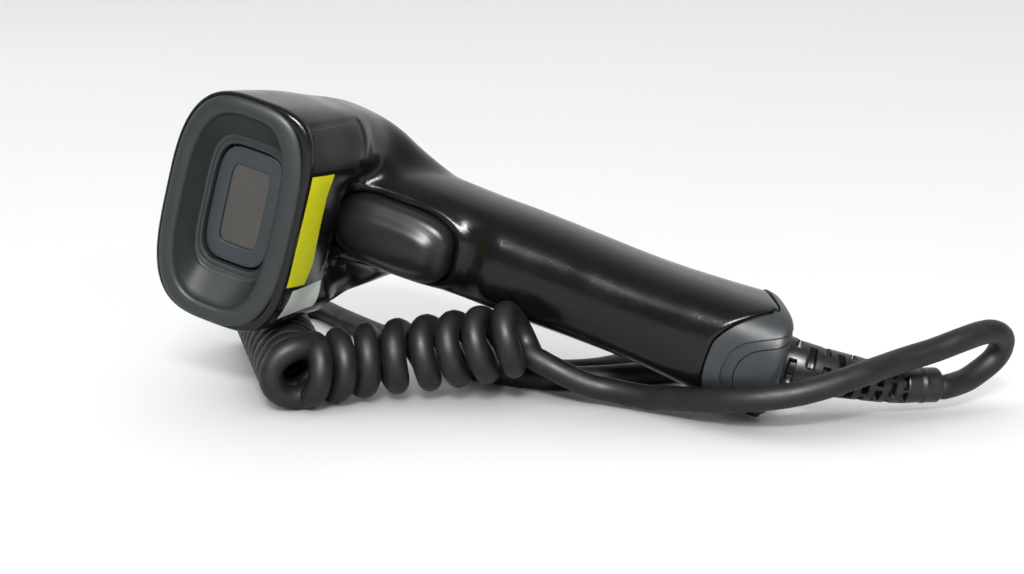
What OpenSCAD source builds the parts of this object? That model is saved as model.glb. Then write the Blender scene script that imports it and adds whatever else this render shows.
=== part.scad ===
// Corded handheld barcode scanner, lying on its right side with its head propped on its coiled cable.
// Pieces are drawn in the scanner's own frame: X runs from the top of the head down to the butt,
// Y runs from the nose to the back, Z points to the scanner's left side. place() lays the scanner
// down on the surface Z = 0.

/* [Pose] */
// How far the butt lies lower than the head, in degrees
lean_down = 15.2; // [10:0.1:20]
// How far the scanner rolls about its length, in degrees
roll_front = 3.5; // [0:0.1:8]

/* [Head] */
// Width of the nose, from side to side
head_w = 66; // [60:0.5:70]
// Height of the nose, from the top of the head to its underside
nose_h = 39; // [36:0.5:42]
// How far the nose face looks down, in degrees
nose_tilt = 13; // [8:1:18]
// Depth of the head, from the nose to the back
head_d = 79; // [76:0.5:84]
// Thickness of the housing walls
wall = 2.2; // [1.6:0.1:2.6]

/* [Nose bezel] */
// Visible depth of the bezel in front of the housing
bezel_d = 3; // [2.6:0.2:4]
// Width of the bezel's flat rim
rim_w = 5; // [3.5:0.25:6]
// Depth of the funnel from the rim to the window plate
funnel_d = 9; // [7:0.5:11]

/* [Window] */
// Height of the window plate
plate_h = 20; // [18:0.5:22]
// Width of the window plate
plate_w = 42; // [38:0.5:46]
// Thickness of the window plate
plate_t = 1.6; // [1.2:0.1:2]
// Height of the scan opening
scan_h = 10; // [8:0.5:12]
// Width of the scan opening
scan_w = 23; // [20:0.5:26]

/* [Handle] */
// Rake of the handle behind the head, in degrees
rake = 8.5; // [5:0.5:12]
// Length of the handle below the head, to the end of the butt
handle_l = 118; // [112:0.5:124]
// Half the thickness of the handle, from its middle to its front or back
grip_half_t = 18; // [17:0.25:19]
// Half the width of the handle
grip_half_w = 15.5; // [15:0.25:17]

/* [Butt] */
// Length of the butt cap at the front of the handle
cap_front_l = 16; // [15:0.5:17]
// Length of the butt cap at the back of the handle
cap_back_l = 4; // [3:0.5:5]
// Width of the cap's first band at the front
cap_band = 4.8; // [4:0.2:5.6]
// Width of the cap's second band at the front
cap_band_2 = 3.4; // [3:0.2:4]

/* [Trigger] */
// Length of the trigger
trigger_l = 34; // [30:0.5:36]
// Distance of the trigger's upper end above the middle of the handle's root
trigger_up = 12; // [10:0.5:14]
// Width of the trigger
trigger_w = 21.5; // [19:0.5:22]
// Height of the trigger's crown above its edge
trigger_crown = 4.5; // [3:0.25:6]
// Radius of the trigger pin
pin_r = 1; // [0.8:0.05:1.2]
// Travel of the trigger, in degrees
trigger_travel = 3; // [2:0.25:3]

/* [Fits] */
// Gap around pieces that sit still
seat_gap = 0.15; // [0.1:0.05:0.25]
// Gap around pieces that move
move_gap = 0.4; // [0.3:0.05:0.6]
// Radial gap of a pin in its bore
pin_gap = 0.05; // [0.02:0.01:0.08]

/* [Electronics] */
// Thickness of the circuit boards
board_t = 1.6; // [1:0.1:2]
// Length of the main board
board_l = 86; // [80:1:88]
// Width of the main board
board_w = 20; // [18:0.5:20.5]

/* [Cable] */
// Diameter of the cable
cord_d = 7; // [6.6:0.1:7.4]
// Outer diameter of the cable's curl
coil_d = 21.8; // [20:0.5:24]
// Length of the strain relief outside the butt
relief_l = 48; // [44:1:50]
// Radius of the strain relief where it leaves the butt
relief_r = 7.8; // [7:0.1:8]

/* [Hidden] */
// The butt's flare and squareness, and how far its edges lie round towards the right side
butt_flare = 1.1;
butt_n = 3;
butt_turn = 9.5;
// The butt's end, seen from the side, past the handle's length: a rounded front and a flat face
end_slope = 0.555;
function end_face(y) = 2.2 - end_slope * (y + 5.8);
butt_end = [[5.7, -24], [5.6, -18], [5, -13.4], [4.2, -10], [2.2, -5.8], [end_face(24), 24]];
// Where the housing ends on the butt: half of its arch seen from the front, then its edge from the side
function moved(points, x) = concat([for (p = points) [p[0] + x, p[1]]], [[40, points[len(points) - 1][1]]]);
shell_arch = moved([[0, 2.5], [0.2, 5], [0.7, 7.1], [2.4, 9.8], [4.6, 12.3], [7, 14.1], [9.5, 15.4], [12.1, 16.3],
    [13.5, 18]], -cap_front_l);
shell_side = concat([[2.5 - cap_front_l + 11, -8], [2.5 - cap_front_l + 11, -4.5]],
    [for (y = [-1.5, 24]) [end_face(y) - cap_back_l, y]]);
// ... the cap's ledge and the arch of the front pad
ledge = 0.8;
ledge_arch = moved([[0, 1.5], [0.3, 3], [1.4, 6.1], [3.4, 8.8], [6.4, 10.5], [10.4, 12.4], [13.6, 13.9], [16, 15.6],
    [18.2, 18]], cap_band - cap_front_l);
pad_arch = moved([[0, 1.2], [0.5, 3.2], [1.3, 4.9], [3.5, 7.4], [6.5, 9.1], [10.2, 10.9], [12.2, 12.7], [14.8, 14]],
    cap_band + cap_band_2 - cap_front_l);
// Where the scanner's own origin lies above the surface
place_at = [-77.7, -44.7, 61.95];
facets = 44;
// How far the nose's brow stands past the middle of the head's top, and how square the nose is
nose_brow = 0.8;
nose_n = 3.1;
slice_t = 0.02;
seam_gap = 0.1;
window_t = 1;
gasket_t = 1.5;
engine_d = 14;
sensor_t = 1.2;
lens_r = 3;
handle_at = [41, 61, 0];
// The trigger's pin, floor and edge in the handle's frame, and how far its lower end swings
pin_x = 5 - trigger_up;
pin_y = -11.5;
trigger_floor = pin_y + 0.4;
trigger_edge = 1 - grip_half_t;
trigger_swing = (grip_half_t + 3 + pin_y) * sin(trigger_travel);
// The switch that the trigger's post presses
post_x = 12;
trigger_gap = 0.3;
switch_out = 1.6;
plunger_tip = 0.4 - switch_out;
// The cable's route: where the strain relief bends, in the handle's frame past the butt
relief_bend = [[0, 0, 0], [10, 0.75, 0.4], [22.9, 6.8, 1], [34.8, 13.5, 1.8], [45.1, 20.6, 4]];
// ... the loop beside the butt and the run up to the curl, above the surface
lead_points = [[113.9, 59.9, 7.1], [117.5, 67.5, 7.7], [120.5, 72.6, 10.1], [123.2, 75.6, 13.1],
    [125, 76.1, 16.7], [125.9, 74.1, 20.2], [124.8, 70.5, 22.4], [122.5, 66, 23],
    [118.5, 58.9, 21.8], [113.2, 52.4, 19.6], [107.7, 44.7, 18], [104.3, 38.1, 17],
    [101.1, 31.4, 16.1], [96.8, 25.6, 14.6], [91.9, 20.6, 13], [86.7, 16.4, 11.6],
    [80.6, 12.9, 10.5], [72.5, 11.2, 9.1], [61.4, 11.6, 7.3], [51.3, 13, 6], [42.7, 14.3, 4.8],
    [32.1, 14, 5.8], [23.5, 9.5, 8.7], [14.9, 5.5, 12.5], [9.7, 4.3, 15.2]];
// ... the curl: its back leg on the surface, then the middles of the front leg's turns
curl_back = [-101.2, 21.0];
curl_corner = [-42.4, -35.8];
curl_front = [[-36.4, -24.4, 11.2], [-32, -17.3, 11.9], [-25.3, -12.3, 12.9], [-17.7, -8.3, 14.1], [-10.7, -5.2, 15.4],
    [-3.6, -3.1, 16.8], [2, -0.1, 18.1], [5.3, 2.3, 18.8]];
// ... and the tail on the surface, which ends at the plug
tail_points = [[-99.2, 19], [-104.2, 24.1], [-110.3, 31.1], [-115.4, 40.2], [-114.4, 50.3], [-105.3, 53.9],
    [-90.1, 46.3], [-71.9, 37.8], [-53.7, 30.1], [-36.6, 22.6], [-23.4, 17.5], [-11.3, 16.5],
    [0.8, 18], [9.9, 21], [19, 28.1], [28.1, 38.2], [36.2, 49.3], [43.2, 60.4], [46.3, 71.5],
    [43.2, 82.7], [35.1, 87.7], [27.1, 83.7], [23, 73.6], [21, 59.4], [19, 47.3], [14.9, 36.2],
    [7.9, 29.1], [-1.2, 26.1], [-10.3, 26.1], [-17.4, 28.6]];

// ---------- placing ----------
module place() translate(place_at) rotate([-roll_front, lean_down, 0]) children();
module at_nose() translate([nose_h / 2, 0, 0]) rotate([0, 0, nose_tilt]) children();
module at_handle() translate(handle_at) rotate([0, 0, rake]) children();
// Stands an outline, drawn as height and width, on edge and runs it backwards from y
module backwards(y, t) translate([0, y, 0]) rotate([-90, 0, 0]) linear_extrude(t) children();

// ---------- outlines ----------
function signed_power(v, e) = sign(v) * pow(abs(v), e);
// A rounded outline between an ellipse (n = 2) and a rectangle (large n), with its own reach each way
function oval(low, high, half_w, n, n_high = 0, steps = facets) =
    [for (i = [0:steps - 1])
        let (c = cos(360 * i / steps), s = sin(360 * i / steps), e = 2 / (c > 0 && n_high > 0 ? n_high : n))
            [(c < 0 ? low : high) * signed_power(c, e), half_w * signed_power(s, e)]];

// ---------- the body's outer form ----------
// Head sections: depth, top, underside, half width, squareness at the top and at the underside,
// share of the wall that the rear takes
head_sections = [
    [-6, -1.8, nose_h + 0.6, head_w / 2 + 0.7, nose_n, 3.6, 0],
    [10, -1.8, nose_h + 0.7, head_w / 2 + 0.5, nose_n, 3.9, 0],
    [22, -1.3, nose_h + 0.2, head_w / 2, 2.9, 3.8, 0],
    [34, 0.6, nose_h - 0.4, head_w / 2 - 1.2, 2.7, 4, 0],
    [40, 1.5, nose_h - 2.4, head_w / 2 - 1.7, 2.5, 4, 0],
    [50, 3.6, nose_h - 1.5, head_w / 2 - 3.4, 2.4, 2.8, 0.2],
    [61, 7.6, nose_h + 3, head_w / 2 - 8, 2.3, 2.5, 0.5],
    [71, 14.4, nose_h + 8, head_w / 2 - 16, 2.1, 2.2, 0.8],
    [head_d - 1.5, 24, nose_h + 9, head_w / 2 - 21.5, 2, 2, 1],
];
module head_slice(s, inset)
    backwards(s[0] - s[6] * inset, slice_t)
        translate([(s[1] + s[2]) / 2, 0])
            polygon(oval((s[2] - s[1]) / 2 - inset, (s[2] - s[1]) / 2 - inset, s[3] - inset, s[4], s[5]));
module head_form(inset)
    for (i = [0:len(head_sections) - 2])
        hull() {
            head_slice(head_sections[i], inset);
            head_slice(head_sections[i + 1], inset);
        }

// Handle sections: distance down the handle, reach to the front, reach to the back, half width, squareness
handle_sections = [
    [-16, grip_half_t + 2, grip_half_t - 3, grip_half_w - 0.5, 2.3],
    [-6, grip_half_t + 4.6, grip_half_t - 0.6, grip_half_w + 0.6, 2.4],
    [8, grip_half_t + 4.0, grip_half_t, grip_half_w + 0.4, 2.4],
    [24, grip_half_t + 1.6, grip_half_t, grip_half_w, 2.4],
    [40, grip_half_t, grip_half_t, grip_half_w, 2.4],
    [80, grip_half_t - 0.4, grip_half_t - 0.4, grip_half_w - 0.9, 2.5],
    [98, grip_half_t - 0.2, grip_half_t - 0.2, grip_half_w - 0.2, 2.7],
    [handle_l, grip_half_t, grip_half_t, grip_half_w + butt_flare, butt_n],
];
module handle_slice(s, inset)
    translate([s[0], 0, 0]) rotate([90, 0, 90]) linear_extrude(slice_t)
        polygon(oval(s[1] - inset, s[2] - inset, s[3] - inset, s[4]));
module handle_form(inset)
    at_handle()
        for (i = [0:len(handle_sections) - 2])
            hull() {
                handle_slice(handle_sections[i], inset);
                handle_slice(handle_sections[i + 1], inset);
            }
module body_form(inset) {
    head_form(inset);
    handle_form(inset);
}

// ---------- cuts ----------
// Everything in front of the plane where the bezel meets the housing
module nose_cut(depth) at_nose() translate([-60, depth - 60, -60]) cube([120, 60, 120]);
// Everything inside an arch on the butt's front, down to a depth
module arch(half, depth, margin)
    at_handle() rotate([butt_turn, 0, 0]) translate([0, depth, 0]) rotate([90, 0, 0]) linear_extrude(40)
        offset(delta = -margin)
            polygon(concat([for (p = half) [handle_l + p[0], p[1]]],
                           [for (i = [len(half) - 1:-1:0]) [handle_l + half[i][0], -half[i][1]]]));
// Everything past an edge seen from the side
module past(edge, turn, margin)
    at_handle() rotate([turn, 0, 0]) translate([margin, 0, -40]) linear_extrude(80)
        polygon(concat([for (p = edge) [handle_l + p[0], p[1]]], [[handle_l + 60, 24], [handle_l + 60, edge[0][1]]]));
module cap_cut(margin) {
    arch(shell_arch, -6, margin);
    past(shell_side, butt_turn, margin);
}
module ledge_cut() arch(ledge_arch, -6, 0);
module pad_cut(margin) arch(pad_arch, -6 - margin, margin);
module end_cut(margin) past(butt_end, 0, -margin);
// The parting line between the front shell and the rear cover, seen from the side
seam_y = 8;
seam_points = [[5, -12], [8, 24], [12, 40], [21, 53], [34, 63]];
function seam_end(x) = [handle_at[0] + x * cos(rake) - seam_y * sin(rake),
                        handle_at[1] + x * sin(rake) + seam_y * cos(rake)];
module rear_side(shift)
    translate([0, 0, -60]) linear_extrude(120)
        polygon(concat([for (p = seam_points) p + [-shift, shift]],
                       [for (x = [8, handle_l + 10]) seam_end(x) + [-shift, shift]],
                       [[180, 140], [-40, 140], [-40, -12]]));
// The trigger's outline, centred on the trigger; its lower end swings outward as it is pulled
trigger_mid = trigger_l / 2 - trigger_up;
module trigger_outline(margin, low_end = 0)
    polygon(oval(trigger_l / 2 - margin, trigger_l / 2 - margin + low_end, trigger_w / 2 - margin, 2.8));
module trigger_prism(y, t) at_handle() translate([trigger_mid, 0, 0]) backwards(y, t) children();

// ---------- housing ----------
module front_shell()
    color("#15171a") place()
        difference() {
            body_form(0);
            body_form(wall);
            nose_cut(bezel_d);
            rear_side(0);
            cap_cut(0);
            trigger_prism(-grip_half_t - 7, 20) trigger_outline(-move_gap, trigger_swing);
        }
module rear_cover()
    color("#17191c") place()
        difference() {
            intersection() {
                body_form(0);
                rear_side(seam_gap);
            }
            body_form(wall);
            nose_cut(bezel_d);
            cap_cut(0);
            at_handle() translate([-40, 10, 0]) rotate([0, 90, 0]) cylinder(r = pipe_r + seat_gap, h = 30, $fn = 32);
        }

// ---------- nose ----------
module nose_slice(y, margin)
    backwards(y, slice_t)
        polygon(oval(nose_h / 2 + nose_brow - margin, nose_h / 2 - margin, head_w / 2 - margin, nose_n));
// What goes into the housing; its upper edge gives way to the head's top, which the nose leans to
module spigot_outline()
    polygon(oval(nose_h / 2 - spigot_margin - 0.5, nose_h / 2 - spigot_margin, head_w / 2 - spigot_margin, nose_n));
module plate_outline(margin, n = 5)
    polygon(oval(plate_h / 2 - margin, plate_h / 2 - margin, plate_w / 2 - margin, n));
module scan_outline(margin)
    polygon(oval(scan_h / 2 - margin, scan_h / 2 - margin, scan_w / 2 - margin, 8));
pocket_d = funnel_d + plate_t + window_t + gasket_t + 3 * seat_gap;
spigot_margin = wall + seat_gap + 0.4;
module nose_bezel()
    color("#474c52") place() at_nose()
        difference() {
            union() {
                hull() {
                    nose_slice(0, 2.2);
                    nose_slice(0.17 * bezel_d, 1.1);
                    nose_slice(0.47 * bezel_d, 0.4);
                    nose_slice(0.8 * bezel_d, 0);
                    nose_slice(bezel_d - seat_gap - slice_t, 0);
                }
                backwards(bezel_d - seat_gap, pocket_d - bezel_d + seat_gap) spigot_outline();
            }
            hull() {
                nose_slice(-0.1, rim_w - 1.2);
                nose_slice(1.2, rim_w);
            }
            hull() {
                nose_slice(1.2, rim_w);
                backwards(funnel_d - slice_t, slice_t) plate_outline(-seat_gap);
            }
            backwards(funnel_d - 2 * slice_t, pocket_d) plate_outline(-seat_gap);
        }
module window_plate()
    color("#566270") place() at_nose()
        difference() {
            backwards(funnel_d, plate_t) plate_outline(0);
            backwards(funnel_d - 1, plate_t + 2) scan_outline(0);
        }
window_y = funnel_d + plate_t + seat_gap;
module scan_window()
    color("#5a5650") place() at_nose() backwards(window_y, window_t) scan_outline(-2);
gasket_y = window_y + window_t + seat_gap;
module window_gasket()
    color("#202224") place() at_nose()
        difference() {
            backwards(gasket_y, gasket_t) scan_outline(-2);
            backwards(gasket_y - 1, gasket_t + 2) scan_outline(-0.3);
        }

// ---------- scan engine, behind the window ----------
chassis_y = pocket_d + seat_gap;
chassis_h = plate_h - 2;
chassis_w = plate_w - 2;
chassis_t = 1.5;
module nose_box(x, y, z, size) translate([x - size[0] / 2, y, z - size[2] / 2]) cube(size);
module engine_chassis()
    color("#2c2f33") place() at_nose()
        difference() {
            nose_box(0, chassis_y, 0, [chassis_h, engine_d, chassis_w]);
            nose_box(0, chassis_y + chassis_t, 0, [chassis_h - 2 * chassis_t, engine_d, chassis_w - 2 * chassis_t]);
            backwards(chassis_y - 1, chassis_t + 2) scan_outline(0);
        }
sensor_y = chassis_y + engine_d - sensor_t;
module image_sensor()
    color("#3b4a44") place() at_nose() nose_box(0, sensor_y - seat_gap, 0, [7, sensor_t, 7]);
barrel_y = chassis_y + chassis_t + 1.5;
module lens_barrel()
    color("#17181a") place() at_nose()
        translate([0, barrel_y, 0]) rotate([-90, 0, 0]) difference() {
            union() {
                cylinder(r = lens_r + 1.2, h = sensor_y - barrel_y - 2 * seat_gap, $fn = 48);
                translate([-5, -5, sensor_y - barrel_y - 2 * seat_gap - 2]) cube([10, 10, 2]);
            }
            translate([0, 0, -1]) cylinder(r = lens_r, h = 30, $fn = 48);
        }
module lens()
    color("#8fa3b0") place() at_nose()
        translate([0, barrel_y + 0.6, 0]) rotate([-90, 0, 0]) cylinder(r = lens_r - pin_gap, h = 2.4, $fn = 48);
led_z = 8.6;
module illumination_leds()
    color("#e8e4d0") place() at_nose()
        for (side = [-1, 1])
            translate([0, 0, side * led_z]) rotate([-90, 0, 0]) translate([0, 0, barrel_y]) {
                cylinder(r = 1.9, h = 3, $fn = 32);
                translate([-1.8, -1.8, 3]) cube([3.6, 3.6, sensor_y - barrel_y - 3 + sensor_t - 2 * seat_gap]);
            }
aimer_z = 15;
module laser_aimer()
    color("#b39a5a") place() at_nose()
        translate([0, barrel_y, aimer_z]) rotate([-90, 0, 0])
            cylinder(r = 2.6, h = sensor_y - barrel_y + sensor_t - 2 * seat_gap, $fn = 32);
engine_board_y = chassis_y + engine_d;
module engine_board()
    color("#1f5a3c") place() at_nose()
        nose_box(0, engine_board_y, 0, [chassis_h, board_t, chassis_w]);

// ---------- inner frame, in the handle ----------
frame_z = board_w / 2 + seat_gap;
frame_t = 1.2;
board_y = 5;
board_x = 5;
frame_l = board_x + board_l + 6;
module handle_box(x, y, half_z, size) translate([x, y, -half_z]) cube([size[0], size[1], 2 * half_z]);
module inner_frame()
    color("#3a3d41") place() at_handle()
        difference() {
            union() {
                for (side = [0, 1]) mirror([0, 0, side]) translate([0, 0, frame_z]) {
                    translate([-9, -5, 0]) cube([frame_l + 9, 12, frame_t]);
                    translate([pin_x, pin_y, 0]) cylinder(r = pin_r + 0.9, h = frame_t, $fn = 40);
                    linear_extrude(frame_t)
                        polygon([[pin_x - pin_r - 0.9, pin_y], [pin_x + pin_r + 0.9, pin_y], [pin_x + 7, -4], [pin_x - 2, -4]]);
                }
                handle_box(-2, -3.4, frame_z + 0.2, [9, 1.4]);
                handle_box(board_x + board_l - 8, 1, frame_z + 0.2, [6, board_y - 1 - seat_gap]);
                handle_box(46, 2, frame_z + 0.2, [4, board_y - 2 - seat_gap]);
            }
            translate([pin_x, pin_y, -30]) cylinder(r = pin_r + pin_gap, h = 60, $fn = 40);
            for (side = [-1, 1])
                translate([board_x + board_l - 5, 0, side * screw_z]) rotate([-90, 0, 0])
                    cylinder(r = 0.85, h = 12, $fn = 24);
        }
screw_z = 6;
module main_board()
    color("#1d6a44") place() at_handle()
        difference() {
            handle_box(board_x, board_y, board_w / 2, [board_l, board_t]);
            for (side = [-1, 1])
                translate([board_x + board_l - 5, 0, side * screw_z]) rotate([-90, 0, 0])
                    cylinder(r = 1.1, h = 12, $fn = 24);
        }
board_back = board_y + board_t + seat_gap / 3;
module board_screws()
    color("#b8bcc0") place() at_handle()
        for (side = [-1, 1])
            translate([board_x + board_l - 5, board_back, side * screw_z]) rotate([90, 0, 0]) {
                cylinder(r = 0.8, h = 5, $fn = 24);
                translate([0, 0, -1.2]) cylinder(r = 1.8, h = 1.2, $fn = 32);
            }
module board_block(x, z, size) translate([x, board_back, z - size[2] / 2]) cube(size);
module processor_chip() color("#1a1b1d") place() at_handle() board_block(30, 0, [12, 1.3, 12]);
module memory_chip() color("#222326") place() at_handle() board_block(47, 2, [11, 1.1, 8]);
module beeper()
    color("#101112") place() at_handle()
        translate([68, board_back, 0]) rotate([-90, 0, 0]) difference() {
            cylinder(r = 6, h = 5, $fn = 48);
            translate([0, 0, 4]) cylinder(r = 1.2, h = 2, $fn = 24);
        }
flex_w = 12;
module flex_cable()
    color("#b5722c") place() translate([0, 0, -flex_w / 2]) linear_extrude(flex_w)
        polygon([[24, 33], [25, 33], [26, 44], [30, 52], [38, 60], [46.5, 65.6], [46.3, 66.1],
                 [37.5, 60.7], [29.4, 52.6], [25.1, 44.4]]);
module status_lamp()
    color("#d8dcd4") place() at_handle() {
        intersection() {
            translate([-40, 10, 0]) rotate([0, 90, 0]) cylinder(r = pipe_r, h = 47, $fn = 32);
            rotate([0, 0, -rake]) translate(-handle_at) head_form(-0.4);
        }
        translate([board_x + 3, board_back, -2]) cube([4, 1.6, 4]);
    }
pipe_r = 1.8;

// ---------- trigger ----------
module trigger()
    color("#30353a") place()
        difference() {
            union() {
                hull() {
                    trigger_prism(trigger_floor - slice_t, slice_t) trigger_outline(0);
                    trigger_prism(trigger_edge, slice_t) trigger_outline(0);
                    trigger_prism(trigger_edge - 2.6, slice_t) trigger_outline(0.7);
                    trigger_prism(trigger_edge - 2.8 - trigger_crown * 0.8, slice_t) trigger_outline(4);
                    trigger_prism(trigger_edge - 2.8 - trigger_crown, slice_t) trigger_outline(7.4);
                }
                at_handle() {
                    translate([pin_x, pin_y, -frame_z + move_gap]) cylinder(r = pin_r + 1.6, h = 2 * (frame_z - move_gap), $fn = 40);
                    translate([post_x, trigger_floor - 1, 0]) rotate([-90, 0, 0])
                        cylinder(r = 1.5, h = plunger_tip - trigger_gap - trigger_floor + 1, $fn = 32);
                }
            }
            at_handle() {
                translate([pin_x, pin_y, -30]) cylinder(r = pin_r + pin_gap, h = 60, $fn = 40);
                translate([pin_x + 6, trigger_floor - 4, -6.5]) cube([2.4, 5, 13]);
                translate([post_x + 2.5, trigger_floor - 4, -6.5]) cube([4, 5, 13]);
            }
        }
module trigger_pin()
    color("#c4c8cc") place() at_handle()
        translate([pin_x, pin_y, -frame_z - frame_t]) cylinder(r = pin_r, h = 2 * (frame_z + frame_t), $fn = 40);
module switch_body()
    color("#26282b") place() at_handle()
        difference() {
            translate([post_x - 3.2, 0.4, -3.2]) cube([6.4, board_y - 0.4 - seat_gap / 3, 6.4]);
            translate([post_x, -1, 0]) rotate([-90, 0, 0]) cylinder(r = 1.5 + pin_gap, h = 5, $fn = 32);
        }
module switch_plunger()
    color("#c9c2a8") place() at_handle()
        translate([post_x, plunger_tip, 0]) rotate([-90, 0, 0]) cylinder(r = 1.5, h = switch_out + 2.2, $fn = 32);
spring_x = 2.6;
spring_r = 2;
spring_wire = 0.5;
spring_turns = 5;
spring_from = trigger_floor + 0.6;
spring_to = -3.8;

// ---------- sweeping ----------
function unit(v) = v / norm(v);
function tangent(path, i) = unit(path[min(i + 1, len(path) - 1)] - path[max(i - 1, 0)]);
function turned(n, t) = unit(n - (n * t) * t);
function normals(path, n0, i = 0, acc = []) =
    i == len(path) ? acc
    : let (n = turned(i == 0 ? n0 : acc[i - 1], tangent(path, i))) normals(path, n0, i + 1, concat(acc, [n]));
module sweep(path, r, sides, n0) {
    ns = normals(path, n0);
    points = [for (i = [0:len(path) - 1]) let (t = tangent(path, i), n = ns[i], b = cross(t, n))
        for (k = [0:sides - 1]) path[i] + r * (cos(360 * k / sides) * n + sin(360 * k / sides) * b)];
    polyhedron(points, tube_faces(len(path), sides), convexity = 6);
}
// The faces of a tube whose points lie ring after ring
function tube_faces(rings, sides) = concat(
    [for (i = [0:rings - 2]) for (k = [0:sides - 1])
        let (a = i * sides + k, b = i * sides + (k + 1) % sides)
        for (f = [[a, a + sides, b], [b, a + sides, b + sides]]) f],
    [[for (k = [0:sides - 1]) k], [for (k = [sides - 1:-1:0]) (rings - 1) * sides + k]]);
module trigger_spring()
    color("#aeb2b6") place() at_handle() translate([spring_x, spring_from, 0]) rotate([-90, 0, 0])
        sweep([for (i = [0:spring_turns * 12]) let (a = i * 30)
                  [spring_r * cos(a), spring_r * sin(a), (spring_to - spring_from) * i / (spring_turns * 12)]],
              spring_wire / 2, 6, [1, 0, 0]);

// ---------- butt ----------
module butt_prism(from, to, inset)
    at_handle() translate([from, 0, 0]) rotate([90, 0, 90]) linear_extrude(to - from)
        polygon(oval(grip_half_t - inset, grip_half_t - inset, grip_half_w + butt_flare - inset, butt_n));
cap_inset = 0.3;
jack_x = board_x + board_l + 1;
plug_h = 8.4;
plug_w = 11.6;
relief_hole_r = relief_r + 0.1;
release_r = 0.8;
jack_l = handle_l - 9 - jack_x;
module butt_cap()
    color("#3c4147") place()
        difference() {
            union() {
                intersection() {
                    butt_prism(handle_l - cap_front_l - 1, handle_l + 8, cap_inset);
                    difference() {
                        cap_cut(seat_gap);
                        ledge_cut();
                    }
                }
                intersection() {
                    butt_prism(handle_l - cap_front_l - 1, handle_l + 8, cap_inset + ledge);
                    difference() {
                        cap_cut(seat_gap);
                        pad_cut(0);
                    }
                }
                butt_prism(handle_l - cap_front_l - 6, handle_l - 2, wall + seat_gap + 1.4);
            }
            end_cut(0);
            difference() {
                butt_prism(handle_l - cap_front_l - 7, handle_l - 4, wall + 2.4);
                end_cut(2.2);
            }
            at_handle() rotate([0, 90, 0]) cylinder(r = relief_hole_r + seat_gap, h = 200, $fn = 48);
            at_handle() translate([handle_l - 13, 0, 0]) rotate([-90, 0, 0])
                cylinder(r = release_r, h = 60, $fn = 24);
        }
module butt_insert()
    color("#434950") place()
        difference() {
            intersection() {
                butt_prism(handle_l - cap_front_l, handle_l + 8, cap_inset + ledge);
                pad_cut(seat_gap);
            }
            end_cut(0);
            butt_prism(handle_l - cap_front_l - 7, handle_l - 2 + seat_gap, wall + 0.7);
            at_handle() rotate([0, 90, 0]) cylinder(r = relief_hole_r + seat_gap, h = 200, $fn = 48);
        }
module cord_jack()
    color("#202225") place() at_handle()
        difference() {
            union() {
                handle_box(jack_x, -6.4, 7.6, [jack_l, 12.8]);
                handle_box(jack_x + 2, -4, frame_z - seat_gap, [3, 8]);
            }
            handle_box(jack_x + 2, -plug_h / 2 - seat_gap, plug_w / 2 + seat_gap, [jack_l, plug_h + 2 * seat_gap]);
            handle_box(jack_x + 0.35 * jack_l, 2, 1.8, [jack_l, 6]);
            contact_rods();
        }
contact_r = 0.25;
module contact_rods()
    for (i = [-3.5:3.5])
        translate([jack_x + 3, -plug_h / 2 - seat_gap, 1.27 * i]) rotate([0, 90, 0])
            cylinder(r = contact_r, h = 0.47 * jack_l, $fn = 16);
module jack_contacts()
    color("#d0a850") place() at_handle() difference() {
        contact_rods();
        handle_box(jack_x, -plug_h / 2 - seat_gap / 2, 8, [jack_l + 3, 4]);
    }

// ---------- cable ----------
cord_r = cord_d / 2;
coil_r = coil_d / 2;
relief_in = handle_l - 5.5;
plug_x = jack_x + 2.5;
plug_l = relief_in - plug_x;
function turn_z(p, a) = [p[0] * cos(a) - p[1] * sin(a), p[0] * sin(a) + p[1] * cos(a), p[2]];
function turn_y(p, a) = [p[0] * cos(a) + p[2] * sin(a), p[1], p[2] * cos(a) - p[0] * sin(a)];
function turn_x(p, a) = [p[0], p[1] * cos(a) - p[2] * sin(a), p[1] * sin(a) + p[2] * cos(a)];
// A point of the handle's frame, as place() and at_handle() set it down
function placed(p) = place_at + turn_y(turn_x(handle_at + turn_z(p, rake), -roll_front), lean_down);
relief_scale = relief_l / norm(relief_bend[len(relief_bend) - 1]);
relief_path = [for (p = relief_bend) [handle_l, 0, 0] + relief_scale * p];
relief_end = relief_path[len(relief_path) - 1];
// A point on the relief's middle line, and the direction there, for t from 0 to 1
function along(path, t) = let (n = len(path) - 1, i = min(floor(t * n), n - 1), u = t * n - i)
    (1 - u) * path[i] + u * path[i + 1];
function aim(v) = [0, acos(v[2] / norm(v)), atan2(v[1], v[0])];
relief_slots = 9;
collar_t = 0.88;
function relief_width(t) = t > collar_t ? cord_r + 1.7 : relief_r - (relief_r - cord_r - 1.4) * t / collar_t;
module relief_station(t) {
    translate(along(relief_path, t)) rotate(aim(along(relief_path, t + 0.02) - along(relief_path, t - 0.02)))
        children();
}
module strain_relief()
    color("#1c1e21") place() at_handle() {
        difference() {
            relief_form();
            for (i = [0:relief_slots - 1])
                relief_station(0.12 + 0.72 * i / (relief_slots - 1))
                    rotate([0, 0, i % 2 == 0 ? 0 : 90])
                        for (side = [-1, 1])
                            translate([side * (cord_r + 0.9 + 5), 0, 0]) cube([10, 9.5 - 0.35 * i, 1.5], center = true);
        }
        translate([relief_in, 0, 0]) rotate([0, 90, 0])
            cylinder(r = relief_r, h = handle_l - relief_in + 0.01, $fn = 48);
    }
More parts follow.
